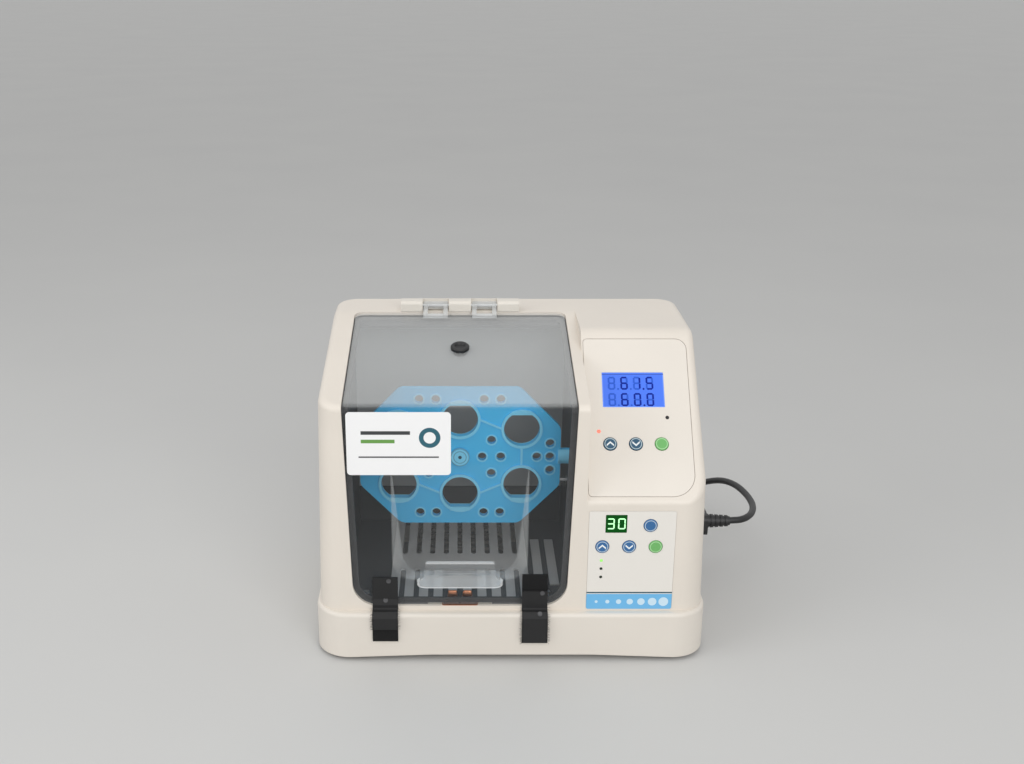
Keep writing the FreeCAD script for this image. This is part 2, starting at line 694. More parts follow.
# Idler bush, flanged on the outside of the left wall
left_wall = at.chamber_x - liner_half
bush = turned("idler_bush", [(at.axle_radius + at.running_gap, 0),
                             (bush_hole, 0), (bush_hole, -at.liner_wall), (bush_hole + 3, -at.liner_wall),
                             (bush_hole + 3, -at.liner_wall - 2), (bush_hole, -at.liner_wall - 2),
                             (bush_hole, -at.liner_wall - 6),
                             (at.axle_radius + at.running_gap, -at.liner_wall - 6)],
              (left_wall + at.liner_wall, rotor_y, at.rotor_height), ALONG_X)
keep(bush)

# Temperature probe with a collar, through the right wall
right_wall = at.chamber_x + at.chamber_half
keep(turned("temperature_probe", [(0, -11), (2, -10.5), (2, -0.5), (3.5, -0.5), (3.5, 0),
                                  (2, 0), (2, 9), (0, 9)],
            (right_wall, probe_y, probe_z), ALONG_X))


# Rotor: one moulded plate with raised rims round six flat-sided tube holes and 24 small ones
def both_ways(spots):
    return sorted({(sx * x, sz * z) for x, z in spots for sx in (-1, 1) for sz in (-1, 1)})


tube_spots = [(at.chamber_x + sx * x, at.rotor_height + sz * z, sz)
              for x, z, sides in ((0, at.tube_mid_z, (1,)), (at.tube_x, at.tube_z, (-1, 1)))
              for sx in sides for sz in (-1, 1)]
small_spots = [(sideways(x), z) for x, z in both_ways(
    [(26.3 - 7.8, 0), (26.3 + 7.8, 0), (26.3, 14.9), (75.3, 0), (75.3, 12), (64.3, 0), (20, 51),
     (33.8, 51)])]


def flat_ring(points, radius):
    return [(at.chamber_x + x, at.rotor_height + z, radius) for x, z in points]


def slab(body, thickness, loops=(), rings=()):
    """Material centred on the rotor's plane."""
    return pad(body, "XZ", rotor_y - thickness / 2, thickness, loops, rings)


rotor = new_body("rotor_plate")
corner = [(-1, -1), (1, -1), (1, 1), (-1, 1)]
plate_loop = []
for sx, sz in corner:
    upright = (at.chamber_x + sx * at.rotor_half, at.rotor_height + sz * at.rotor_side, 9)
    level = (at.chamber_x + sx * at.rotor_shoulder, at.rotor_height + sz * at.rotor_rise, 9)
    plate_loop += [upright, level] if sx * sz > 0 else [level, upright]
slab(rotor, at.rotor_thickness, [plate_loop])
slab(rotor, at.rim_thickness, [], [(x, z, at.tube_rim) for x, z, side in tube_spots])
slab(rotor, at.rotor_thickness + 1.2, [], flat_ring(small_spots, at.small_rim))
slab(rotor, at.hub_thickness, [], [(at.chamber_x, at.rotor_height, at.hub_radius)])
rib = 0.9
rib_reach = at.tube_z - at.tube_rim + 1
slab(rotor, at.rim_thickness - 1,
     [rect(at.chamber_x + side * at.tube_x - rib, at.rotor_height - rib_reach,
           at.chamber_x + side * at.tube_x + rib, at.rotor_height + rib_reach) for side in (-1, 1)])
for sx in (-1, 1):
    for sz in (-1, 1):
        inner = (at.chamber_x + sx * (at.tube_rim - 1), at.rotor_height + sz * at.tube_mid_z)
        outer = (at.chamber_x + sx * (at.tube_x - at.tube_rim + 1), at.rotor_height + sz * at.tube_z)
        loop = [(inner[0], inner[1] - rib), (outer[0], outer[1] - rib), (outer[0], outer[1] + rib),
                (inner[0], inner[1] + rib)]
        slab(rotor, at.rim_thickness - 1, [loop])
pocket(rotor, "XZ", rotor_y - at.hub_thickness, at.hub_thickness * 2, [],
       [(x, z, at.tube_hole) for x, z, side in tube_spots] + flat_ring(small_spots, at.small_hole))
slab(rotor, at.rim_thickness,
     [rect(x - at.tube_flat * 0.66, z + side * at.tube_flat, x + at.tube_flat * 0.66,
           z + side * (at.tube_hole + 0.8)) for x, z, side in tube_spots])
pad(rotor, "YZ", at.chamber_x - at.rotor_half - at.boss_length, at.boss_length + 2, [],
    [(rotor_y, at.rotor_height, at.boss_radius)])
pad(rotor, "YZ", at.chamber_x + at.rotor_half - 2, at.boss_length + 2, [],
    [(rotor_y, at.rotor_height, at.boss_radius)])
axle_bore = at.axle_radius + at.running_gap
pocket(rotor, "YZ", at.chamber_x - at.rotor_half - at.boss_length, at.boss_length, [],
       [(rotor_y, at.rotor_height, axle_bore)])
pocket(rotor, "YZ", at.chamber_x + at.rotor_half, at.boss_length, [],
       [(rotor_y, at.rotor_height, axle_bore)])
keep(rotor)

axle_spot = (0, rotor_y, at.rotor_height)
idler_out = at.chamber_x - liner_half - 4
idler = turned("idler_axle", rod(at.axle_radius, idler_out, at.chamber_x - at.rotor_half), axle_spot,
               ALONG_X)
bracket_end = at.bracket_x + at.bracket_thickness
drive_axle = turned("drive_axle", rod(at.axle_radius, at.chamber_x + at.rotor_half, bracket_end + 5),
                    axle_spot, ALONG_X)
keep(idler, drive_axle)


# Ball bearings: one in the liner's right wall, one in the drive bracket
def bearing(label, start):
    outer = at.bearing_radius
    inner = at.axle_radius + 0.02
    return turned(label, [(inner, 0), (outer, 0), (outer, at.bearing_width), (inner, at.bearing_width)],
                  (start, rotor_y, at.rotor_height), ALONG_X)


keep(group("drive_bearings", bearing("wall_bearing", right_wall),
           bearing("bracket_bearing", at.bracket_x - 1)))


# Pulleys with flanges, the belt round them, the motor and its bracket
lip = 1.2


def pulley(label, radius, bore, height):
    width = at.pulley_width
    profile = [(bore, 0), (radius + 1.5, 0), (radius + 1.5, lip), (radius, lip), (radius, width - lip),
               (radius + 1.5, width - lip), (radius + 1.5, width), (bore, width)]
    return turned(label, profile, (at.pulley_x, rotor_y, height), ALONG_X)


keep(pulley("drive_pulley", at.drive_pulley, at.axle_radius + 0.02, at.rotor_height))
motor_face = at.bracket_x
bore = at.motor_shaft
small = at.motor_pulley
pulley_end = at.pulley_width
shaft_end = motor_face + 9 - at.pulley_x
keep(turned("motor_pulley", [(0, 0), (small + 1.5, 0), (small + 1.5, lip), (small, lip),
                             (small, pulley_end - lip), (small + 1.5, pulley_end - lip),
                             (small + 1.5, pulley_end), (bore, pulley_end), (bore, shaft_end),
                             (0, shaft_end)], (at.pulley_x, rotor_y, at.motor_height), ALONG_X))

motor_hole = 6
motor_bore = bore + at.running_gap
motor = turned("drive_motor", [(motor_bore, 0), (motor_hole, 0), (motor_hole, at.bracket_thickness),
                               (at.motor_radius, at.bracket_thickness),
                               (at.motor_radius, at.bracket_thickness + 22),
                               (at.motor_radius - 1.5, at.bracket_thickness + 22),
                               (at.motor_radius - 1.5, at.motor_length), (0, at.motor_length),
                               (0, 10), (motor_bore, 10)],
               (motor_face, rotor_y, at.motor_height), ALONG_X)
keep(motor)

bracket = new_body("drive_bracket")
bracket_top = at.rotor_height + at.bearing_radius + 9
pad(bracket, "YZ", at.bracket_x, at.bracket_thickness,
    [rect(rotor_y - at.bracket_half, plate_top, rotor_y + at.bracket_half, bracket_top, 4)],
    [(rotor_y, at.rotor_height, bearing_hole), (rotor_y, at.motor_height, motor_hole + 0.05)])
pad(bracket, "XY", plate_top, at.bracket_thickness,
    [rect(at.bracket_x, rotor_y - at.bracket_half, at.bracket_x + 40, rotor_y + at.bracket_half, 3.9)])
keep(bracket)


def belt_loop(drive, driven, distance):
    """The tight loop round two pulleys one above the other: tangent lines and arcs, seen along X."""
    drive, driven, distance = float(drive), float(driven), float(distance)
    lean = math.asin((driven - drive) / distance)
    low = float(at.motor_height)
    high = low + distance
    y = float(rotor_y)

    def spot(centre, radius, angle):
        return vector(0, y + radius * math.cos(angle), centre + radius * math.sin(angle))

    right, left = -lean, math.pi + lean
    edges = [Part.LineSegment(spot(low, drive, right), spot(high, driven, right)).toShape(),
             Part.Arc(spot(high, driven, right), spot(high, driven, math.pi / 2),
                      spot(high, driven, left)).toShape(),
             Part.LineSegment(spot(high, driven, left), spot(low, drive, left)).toShape(),
             Part.Arc(spot(low, drive, left), spot(low, drive, -math.pi / 2),
                      spot(low, drive, right)).toShape()]
    return Part.Wire(edges)


shaft_distance = at.rotor_height - at.motor_height
inner_gap = at.belt_gap
outer_gap = at.belt_gap + at.belt_thickness
inner_loop = belt_loop(at.motor_pulley + inner_gap, at.drive_pulley + inner_gap, shaft_distance)
outer_loop = belt_loop(at.motor_pulley + outer_gap, at.drive_pulley + outer_gap, shaft_distance)
belt = doc.addObject("Part::Feature", "drive_belt")
belt.Label = "drive_belt"
belt.Shape = Part.Face(outer_loop).cut(Part.Face(inner_loop)).extrude(vector(at.belt_width, 0, 0))
belt.Placement = FreeCAD.Placement(vector(at.pulley_x + (at.pulley_width - at.belt_width) / 2, 0, 0), UP)
keep(belt)

# Fan below the floor slots: a square frame on four legs with a hub plate, and a seven-blade rotor
fan_y = front + at.fan_depth
fan_half = at.fan_size / 2
fan_low = at.fan_seat
frame_body = new_body("fan_housing")
fan_x = at.chamber_x
pad(frame_body, "XY", fan_low, at.fan_height,
    [rect(fan_x - fan_half, fan_y - fan_half, fan_x + fan_half, fan_y + fan_half, 4)],
    [(fan_x, fan_y, at.fan_bore)])
leg_in = fan_half - 4
pad(frame_body, "XY", plate_top, fan_low - plate_top, [],
    [(fan_x + sx * leg_in, fan_y + sy * leg_in, 3) for sx, sy in corner])
pad(frame_body, "XY", fan_low, 2, [], [(fan_x, fan_y, at.fan_hub)])
spoke = fan_half - 1.5
pad(frame_body, "XY", fan_low, 2,
    [rect(fan_x - spoke, fan_y - 1.5, fan_x + spoke, fan_y + 1.5)])
pad(frame_body, "XY", fan_low, 2,
    [rect(fan_x - 1.5, fan_y - spoke, fan_x + 1.5, fan_y + spoke)])
keep(frame_body)

blade_count = 7
blade_reach = at.fan_bore - 2
hub_low = fan_low + 2.4
hub = turned("fan_hub", rod(at.fan_hub, hub_low, fan_low + at.fan_height), (fan_x, fan_y, 0))
blades = []
for i in range(blade_count):
    blade = doc.addObject("Part::Box", "fan_blade_%d" % i)
    bind(blade, "Length", blade_reach - at.fan_hub + 1)
    bind(blade, "Width", at.fan_height * 0.72)
    blade.Height = 1.2
    pitch = FreeCAD.Rotation(vector(1, 0, 0), 38)
    spin = FreeCAD.Rotation(vector(0, 0, 1), 360 * i / blade_count)
    reach = spin.multVec(vector(at.fan_hub - 1, 0, 0)) + vector(fan_x, fan_y, hub_low + 2)
    drop = spin.multiply(pitch).multVec(vector(0, -at.fan_height * 0.36, 0))
    blade.Placement = FreeCAD.Placement(reach + drop + vector(0, 0, at.fan_height * 0.22),
                                        spin.multiply(pitch))
    blades.append(blade)
keep(fuse("fan_rotor", hub, *blades))


def tube_along(points, radius, share=0.45, name=None):
    """A round tube on straight runs joined by tangent arcs, as large as the runs allow."""
    edges = []
    radii = []
    start = points[0]
    for before, corner_spot, after in zip(points, points[1:], points[2:]):
        into = (corner_spot - before).normalize()
        out = (after - corner_spot).normalize()
        half_turn = into.getAngle(out) / 2
        reach = share * min((corner_spot - before).Length, (after - corner_spot).Length)
        bend_radius = reach / math.tan(half_turn)
        radii.append(bend_radius)
        first = corner_spot - into * reach
        last = corner_spot + out * reach
        inward = (out - into).normalize()
        middle = corner_spot + inward * (bend_radius / math.cos(half_turn) - bend_radius)
        edges.append(Part.LineSegment(start, first).toShape())
        edges.append(Part.Arc(first, middle, last).toShape())
        start = last
    edges.append(Part.LineSegment(start, points[-1]).toShape())
    path = Part.Wire(edges)
    heading = (points[1] - points[0]).normalize()
    section = Part.Wire(Part.Circle(points[0], heading, float(radius)).toShape())
    solid = Part.Wire(path).makePipeShell([section], True, False)
    if name:
        share_of_length = solid.Volume / (math.pi * float(radius) ** 2 * path.Length)
        print(name, "length %.1f" % path.Length, "volume share %.4f" % share_of_length,
              "radii", " ".join("%.1f" % item for item in radii))
    return solid


# Heater: a tubular element bent to and fro against the liner's floor, between the fan and the slots
heater_z = floor_under - at.heater_radius
heater_half = 3 * at.slot_pitch
heater_rows = 5
heater_points = []
for i in range(heater_rows):
    row_y = fan_y - 26 + 13 * i
    ends = (-1, 1) if i % 2 == 0 else (1, -1)
    heater_points += [vector(fan_x + side * heater_half, row_y, heater_z) for side in ends]
heater = doc.addObject("Part::Feature", "heater_element")
heater.Label = "heater_element"
heater.Shape = tube_along(heater_points, at.heater_radius)
keep(heater)


# Lid: a bent clear sheet, trimmed to its outline, with a finger recess pressed into its front
def under_lid(label, inset, spare):
    """Everything behind the lid's front face and below its slanted face, moved inwards by an inset."""
    body = new_body(label)
    near = lid_front + inset
    far = lid_front + at.lid_reach + spare
    wide = at.lid_half + spare
    pad(body, "YZ", at.chamber_x - wide, 2 * wide,
        [[(near, at.lid_foot - spare), (far, at.lid_foot - spare), (far, bent_line(inset, far)),
          (near, bent_line(inset, near), at.lid_bend - inset)]])
    return body


def recess_section(label, half, back, foot):
    """The recess outline, round-bottomed and open upwards, on a plane at a given place behind the front."""
    sketch = doc.addObject("Sketcher::SketchObject", label)
    top = at.recess_top + 20
    outline(sketch, [(at.chamber_x - half, top), (at.chamber_x - half, foot, at.recess_corner),
                     (at.chamber_x + half, foot, at.recess_corner), (at.chamber_x + half, top)])
    sketch.Placement = FreeCAD.Placement(vector(0, back, 0), ALONG_FRONT)
    bind(sketch, "Placement.Base.y", back)
    sketch.Visibility = False
    return sketch


def recess_form(label, grow):
    """The pressed-in space: tapering sides, a level foot and a floor that rises to nothing."""
    ahead = 1
    depth = at.recess_depth + grow
    taper = at.recess_inset / at.recess_depth
    outer = at.recess_half + grow + taper * ahead
    inner = at.recess_half + grow - at.recess_inset
    foot = at.recess_foot - grow
    loft = doc.addObject("Part::Loft", label + "_loft")
    loft.Sections = [recess_section(label + "_outer", outer, lid_front - ahead, foot),
                     recess_section(label + "_inner", inner - taper * grow, lid_front + depth, foot)]
    loft.Solid = True
    loft.Ruled = True
    floor = new_body(label + "_floor")
    foot_z = at.recess_foot + 5
    slope = (at.recess_top - foot_z) / at.recess_depth
    pad(floor, "YZ", at.chamber_x - at.lid_half, 2 * at.lid_half,
        [[(lid_front - ahead, foot - 4), (lid_front + depth, foot - 4), (lid_front + depth, foot_z),
          (lid_front - ahead, foot_z + slope * (depth + ahead))]])
    return common(label, loft, floor)


trimmed = common("lid_trimmed", under_lid("lid_outside", as_size(0), 0),
                 lid_outline("lid_edge", as_size(0), at.lid_reach, 3))
inside = cut("lid_hollow", under_lid("lid_inside", at.lid_wall, 12), recess_form("recess_back", at.lid_wall))
vent_y = lid_front + at.vent_depth
slant_turn = FreeCAD.Rotation(vector(1, 0, 0), math.degrees(math.atan(float(slant))))
vent_frame = FreeCAD.Placement(vector(at.chamber_x, vent_y, bent_line(0, vent_y)), slant_turn)
vent_hole = turned("vent_hole", rod(at.vent_stem + 0.15, -8, 8), frame=vent_frame)
lid = cut("lid", trimmed, recess_form("recess_front", 0), inside, vent_hole)
keep(lid)

# Pull handle: a clear angle moulding on the recess's foot, its shelf flared towards the front
handle = new_body("lid_handle")
shelf_back = lid_front + at.recess_depth
shelf_front = front - at.handle_reach
flare = at.handle_half + at.handle_flare
pad(handle, "XY", at.recess_foot, at.handle_thickness,
    [[(at.chamber_x - at.handle_half, shelf_back), (at.chamber_x - at.handle_half, shelf_back - 12),
      (at.chamber_x - flare, shelf_front + 9), (at.chamber_x - flare, shelf_front, 7),
      (at.chamber_x + flare, shelf_front, 7), (at.chamber_x + flare, shelf_front + 9),
      (at.chamber_x + at.handle_half, shelf_back - 12), (at.chamber_x + at.handle_half, shelf_back)]])
pad(handle, "XZ", shelf_back - 3.4, 2.6,
    [rect(at.chamber_x - at.handle_half + 1, at.recess_foot, at.chamber_x + at.handle_half - 1,
          at.recess_foot + at.handle_upright, 2)])
keep(handle)

# Hinge: a block on the casing's top, a steel pin, and two clear clips from the lid round the pin
hinge_y = lid_front + at.lid_reach + at.hinge_setback
hinge_z = at.casing_top + at.hinge_rise
block_top = at.casing_top + at.hinge_block_rise
pin_hole = at.pin_radius + 0.02
block = new_body("hinge_block")
block_front = hinge_y - at.hinge_block_depth / 2
block_back = hinge_y + at.hinge_block_depth / 2
pad(block, "YZ", at.chamber_x - at.hinge_half, 2 * at.hinge_half,
    [[(block_front, at.casing_top), (block_back + 2, at.casing_top), (block_back, block_top, 2),
      (block_front, block_top, 3)]], [(hinge_y, hinge_z, pin_hole)])
clip_half = at.clip_width / 2
clip_x = [at.chamber_x - at.clip_spacing / 2, at.chamber_x + at.clip_spacing / 2]
notch = clip_half + at.clip_notch_gap
pocket(block, "XY", at.casing_top, at.hinge_block_rise + 1,
       [rect(x - notch, hinge_y - at.hinge_block_depth, x + notch, hinge_y + at.clip_barrel + 1)
        for x in clip_x])
keep(block)
keep(turned("hinge_pin", rod(at.pin_radius, -at.hinge_half + 2, at.hinge_half - 2),
            (at.chamber_x, hinge_y, hinge_z), ALONG_X))

clips = []
clip_foot = hinge_y - 15
clip_lift = hinge_y - 9.5
for i, x in enumerate(clip_x):
    clip = new_body("lid_clip_%d" % i)
    arm = [(clip_foot, bent_line(0, clip_foot)), (clip_lift, bent_line(0, clip_lift)),
           (hinge_y - 5.9, at.casing_top + 0.45),
           (hinge_y - 0.4 * at.clip_barrel, hinge_z - 0.8 * at.clip_barrel), (hinge_y, hinge_z + 0.5),
           (hinge_y - 0.6 * at.clip_barrel, hinge_z + 0.7 * at.clip_barrel),
           (clip_foot, bent_line(0, clip_foot) + 2.2)]
    for start in (x - clip_half, x + clip_half - at.clip_arm):
        pad(clip, "YZ", start, at.clip_arm, [arm])
    pad(clip, "YZ", x - clip_half, at.clip_width, [], [(hinge_y, hinge_z, at.clip_barrel)])
    pad(clip, "YZ", x - clip_half, at.clip_width,
        [[(clip_foot, bent_line(0, clip_foot)), (clip_foot + 4, bent_line(0, clip_foot + 4)),
          (clip_foot + 4, bent_line(0, clip_foot + 4) + 2.2), (clip_foot, bent_line(0, clip_foot) + 2.2)]])
    pocket(clip, "YZ", x - clip_half, at.clip_width, [], [(hinge_y, hinge_z, at.pin_radius + 0.08)])
    clips.append(clip)
keep(group("lid_clips", *clips))

# Lid seal: a bent rubber frame behind the lid's edge, seated on the liner's mouth
seal_front = at.lid_wall + at.seal_gap


def seal_layer(label, inset, spare):
    body = new_body(label)
    near = lid_front + inset
    far = lid_front + at.lid_reach + spare
    wide = at.lid_half + 12
    low = at.floor_height
    pad(body, "YZ", at.chamber_x - wide, 2 * wide,
        [[(near, low), (far, low), (far, bent_line(inset, far)),
          (near, bent_line(inset, near), at.lid_bend - inset)]])
    return body


seal_frame = common("seal_frame", seal_layer("seal_outside", seal_front, 8),
                    lid_outline("seal_outer_edge", at.seal_outset, at.lid_reach + 1, 3))
sill = at.lid_foot - at.lid_gap
spring_thickness = 0.5
catch_notch = box("catch_notch", (at.chamber_x - at.catch_half - 0.3, lid_front, at.floor_height - 2),
                  (2 * at.catch_half + 0.6, 20, sill + spring_thickness + 2.3 - at.floor_height))
seal_whole = cut("seal_whole", seal_frame, seal_layer("seal_inside", seal_front + at.seal_thickness, 20),
                 lid_outline("seal_inner_edge", -at.seal_inset, at.lid_reach - at.seal_inset, 9), catch_notch)

# The seal is moulded as six straight runs, which meet end to end
seal_wide = at.lid_half + 12
seal_sill = sill + at.seal_inset + 5
seal_shoulder = at.bend_height - 7.5
seal_rear = lid_front + at.lid_reach - at.seal_inset - 3
seal_far = seal_rear + 40
seal_low = at.floor_height - 5
seal_high = at.bend_height + 100
seal_runs = [("foot", -1, 1, lid_front, seal_far, seal_low, seal_sill),
             ("front_left", -1, 0, lid_front, seal_far, seal_sill, seal_shoulder),
             ("front_right", 0, 1, lid_front, seal_far, seal_sill, seal_shoulder),
             ("top_left", -1, 0, lid_front, seal_rear, seal_shoulder, seal_high),
             ("top_right", 0, 1, lid_front, seal_rear, seal_shoulder, seal_high),
             ("rear", -1, 1, seal_rear, seal_far, seal_shoulder, seal_high)]
keep(group("lid_seal", *[
    common("seal_" + name, seal_whole, box(
        "seal_range_" + name, (at.chamber_x + from_x * seal_wide, from_y, from_z),
        ((to_x - from_x) * seal_wide, to_y - from_y, to_z - from_z)))
    for name, from_x, to_x, from_y, to_y, from_z, to_z in seal_runs]))

# Vent plug: a rubber cap with a stem through the lid
keep(turned("vent_plug", [(0, -5.5), (at.vent_stem - 1, -5.5), (at.vent_stem, -4.5),
                          (at.vent_stem, 0.1), (at.vent_radius, 0.1), (at.vent_radius, at.vent_cap - 1),
                          (at.vent_radius - 1, at.vent_cap), (at.vent_radius - 3, at.vent_cap),
                          (at.vent_radius - 4, at.vent_cap - 1.4), (0, at.vent_cap - 1.4)],
            frame=vent_frame))

# Asset label: a blank white card stuck on the lid's front
label = new_body("asset_label")
pad(label, "XZ", lid_front - at.label_thickness, at.label_thickness,
    [rect(at.chamber_x - at.label_left, at.label_low, at.chamber_x - at.label_right, at.label_high, 3)])
keep(label)


# Closure straps: hook-and-loop ribbons stuck on the lid, over the ledge and down on the base's pads
def ribbon(label, x, points, thickness):
    """A ribbon seen along X: its back follows the points downwards, its front stands off by a thickness."""
    spots = [vector(y, z, 0) for y, z in points]
    front_line = []
    for i, spot in enumerate(spots):
        before = (spot - spots[i - 1]).normalize() if i else None
        after = (spots[i + 1] - spot).normalize() if i + 1 < len(spots) else None
        ways = [vector(way.y, -way.x, 0) for way in (before, after) if way is not None]
        normal = ways[0] if len(ways) == 1 else (ways[0] + ways[1]).normalize()
        stretch = 1 if len(ways) == 1 else 1 / normal.dot(ways[0])
        front_line.append(spot + normal * (float(thickness) * stretch))
    loop = [(spot.x, spot.y) for spot in spots + front_line[::-1]]
    body = new_body(label)
    pad(body, "YZ", x - at.strap_width / 2, at.strap_width, [loop])
    return body


clear = 0.3
ledge_top = at.base_top
over_pad = front - at.pad_thickness - clear
strap_x = [at.chamber_x - at.strap_spacing / 2, at.chamber_x + at.strap_spacing / 2]


def strap_line(start_y, start_z, end_z):
    return [(start_y, start_z), (start_y, 52), (casing_front - clear, 47.5),
            (casing_front - clear, ledge_top + 2.6), (casing_front - 2.4, ledge_top + 0.7),
            (front + 1, ledge_top + 0.5), (over_pad, ledge_top - 2.6), (over_pad, end_z)]


left_strap = ribbon("left_strap", strap_x[0], strap_line(lid_front, 71.5, 30), at.strap_thickness)
right_strap = ribbon("right_strap", strap_x[1], strap_line(lid_front - at.pad_thickness, 60, 18),
                     at.strap_thickness)
keep(group("closure_straps", left_strap, right_strap))
lid_pad = new_body("lid_pad")
pad(lid_pad, "XZ", lid_front - at.pad_thickness, at.pad_thickness,
    [rect(strap_x[1] - at.strap_width / 2, 52.5, strap_x[1] + at.strap_width / 2, 74)])
keep(lid_pad)
base_pads = []
for i, (x, low) in enumerate(zip(strap_x, (18.5, 17))):
    item = new_body("base_pad_%d" % i)
    pad(item, "XZ", front - at.pad_thickness, at.pad_thickness,
        [rect(x - at.strap_width / 2, low, x + at.strap_width / 2, 38.5)])
    base_pads.append(item)
keep(group("base_pads", *base_pads))

# Catch: a pale strike plate on the opening's sill with a copper spring on it
plate_low = casing_front + at.casing_wall
catch = new_body("catch_plate")
pad(catch, "XY", sill - at.catch_thickness, at.catch_thickness,
    [rect(at.chamber_x - at.catch_half, plate_low, at.chamber_x + at.catch_half,
          mouth + 6, 1.5)])
keep(catch)
spring = new_body("catch_spring")
pad(spring, "XY", sill, spring_thickness,
    [rect(at.chamber_x - at.spring_half, casing_front + 0.5, at.chamber_x + at.spring_half,
          mouth + 6, 2)])
keep(spring)


# Control panels: the slope's inset plate and the front's thin overlay, with keys, lamps and boards
def key_body(label, frame, across, up, face):
    """A round key held behind its plate by a flange, its stem just clear of the board's switch."""
    back = face - 0.1
    stem_end = -at.board_depth + at.board_thickness + 4 + at.key_travel + 0.1
    radius = at.key_radius
    profile = [(0, stem_end), (2, stem_end), (2, back - 1.2), (radius + 1.2, back - 1.2),
               (radius + 1.2, back), (radius, back), (radius, 0.5), (radius - 0.5, 0.9), (0, 0.9)]
    return turned(label, profile, (across, up, 0), frame=frame)


def board_body(label, frame, low, high, keys):
    """A circuit board with a switch under each key and four spacers up to the casing wall."""
    board = new_body(label)
    top = -at.board_depth + at.board_thickness
    pad(board, "XY", -at.board_depth, at.board_thickness, [rect(low[0], low[1], high[0], high[1], 2)])
    pad(board, "XY", top, 4, [], [(across, up, 3) for name, across, up in keys])
    spots = [(u, v) for u in (low[0] + 6.5, high[0] - 6.5) for v in (low[1] + 3, high[1] - 3)]
    pad(board, "XY", top, -top - at.casing_wall, [], [(u, v, 2) for u, v in spots])
    board.Placement = frame
    return board


def window_cut(low, size, gap=0.0):
    return rect(low[0] - gap, low[1] - gap, low[0] + size[0] + gap, low[1] + size[1] + gap, 0.6)


hole = at.key_radius + at.key_gap
panel = framed_body("temperature_panel", slope_frame, -at.panel_thickness, at.panel_thickness,
                    [panel_plan, window_cut(lcd_low, lcd_window_size)],
                    [(x, y, hole) for name, x, y in slope_keys]
                    + [(x, y, lamp_radius + 0.05) for x, y in slope_lamps])
keep(panel)
keep(framed_body("lcd_window", slope_frame, -at.panel_thickness, at.panel_thickness - 0.2,
                 [window_cut(lcd_low, lcd_window_size, -0.1)], []))
board_top = -at.board_depth + at.board_thickness
keep(framed_body("lcd_module", slope_frame, board_top, -at.panel_thickness - board_top,
                 [rect(lcd_low[0] - 4, lcd_low[1] - 4, lcd_low[0] + lcd_window_size[0] + 4,
                       lcd_low[1] + lcd_window_size[1] + 4, 1)], []))
keep(board_body("temperature_board", slope_frame, (at.panel_left + 1.5, 30),
                (at.panel_right - 2, 124), slope_keys))
lamps = [turned("slope_lamp_%d" % i, [(0, board_top), (lamp_radius, board_top), (lamp_radius, -0.2),
                                      (lamp_radius - 0.6, 0.5), (0, 0.5)], (x, y, 0),
                frame=slope_frame) for i, (x, y) in enumerate(slope_lamps)]
keep(group("temperature_lamps", *lamps))
for name, across, up in slope_keys:
    keep(key_body(name, slope_frame, across, up, -at.panel_thickness))

overlay_low = -at.overlay_recess
overlay = framed_body("speed_overlay", front_frame, overlay_low, at.overlay_thickness,
                      [overlay_plan, window_cut(led_low, led_window_size)],
                      [(x, y, hole) for name, x, y in front_keys]
                      + [(x, y, small_lamp + 0.05) for x, y in front_lamps])
keep(overlay)
keep(framed_body("speed_display", front_frame, board_top, 0.1 - board_top,
                 [window_cut(led_low, led_window_size, -0.1)], []))
keep(board_body("speed_board", front_frame, (at.overlay_left + 1.5, 58),
                (at.overlay_right - 2, 132.6), front_keys))
lamps = [turned("front_lamp_%d" % i, [(0, board_top), (small_lamp, board_top), (small_lamp, 0.3),
                                      (small_lamp - 0.5, 0.7), (0, 0.7)], (x, y, 0),
                frame=front_frame) for i, (x, y) in enumerate(front_lamps)]
keep(group("mode_lamps", *lamps))
for name, across, up in front_keys:
    keep(key_body(name, front_frame, across, up, overlay_low))

# Mains inlet: a flanged socket with three pins, and the switch with its rocker beside it
flange = 2
seat_x = side_x - 0.6
inlet = new_body("inlet_socket")
pad(inlet, "YZ", seat_x, flange,
    [rect(inlet_y - at.inlet_width / 2, at.inlet_height - at.inlet_tall / 2,
          inlet_y + at.inlet_width / 2, at.inlet_height + at.inlet_tall / 2, 2)])
pad(inlet, "YZ", seat_x - 22, 22,
    [rect(inlet_y - at.connector_width / 2 - 0.9, at.inlet_height - at.connector_tall / 2 - 0.9,
          inlet_y + at.connector_width / 2 + 0.9, at.inlet_height + at.connector_tall / 2 + 0.9)])
pocket(inlet, "YZ", seat_x - 16, 20,
       [rect(inlet_y - at.connector_width / 2 - 0.15, at.inlet_height - at.connector_tall / 2 - 0.15,
             inlet_y + at.connector_width / 2 + 0.15, at.inlet_height + at.connector_tall / 2 + 0.15)])
pin_spots = [(inlet_y - 7, at.inlet_height - 2), (inlet_y, at.inlet_height + 2),
             (inlet_y + 7, at.inlet_height - 2)]
pin_wide = 1
pin_tall = 2
pin_gap = 0.2
pad(inlet, "YZ", seat_x - 16, 13, [rect(y - pin_wide, z - pin_tall, y + pin_wide, z + pin_tall)
                                   for y, z in pin_spots])
keep(inlet)

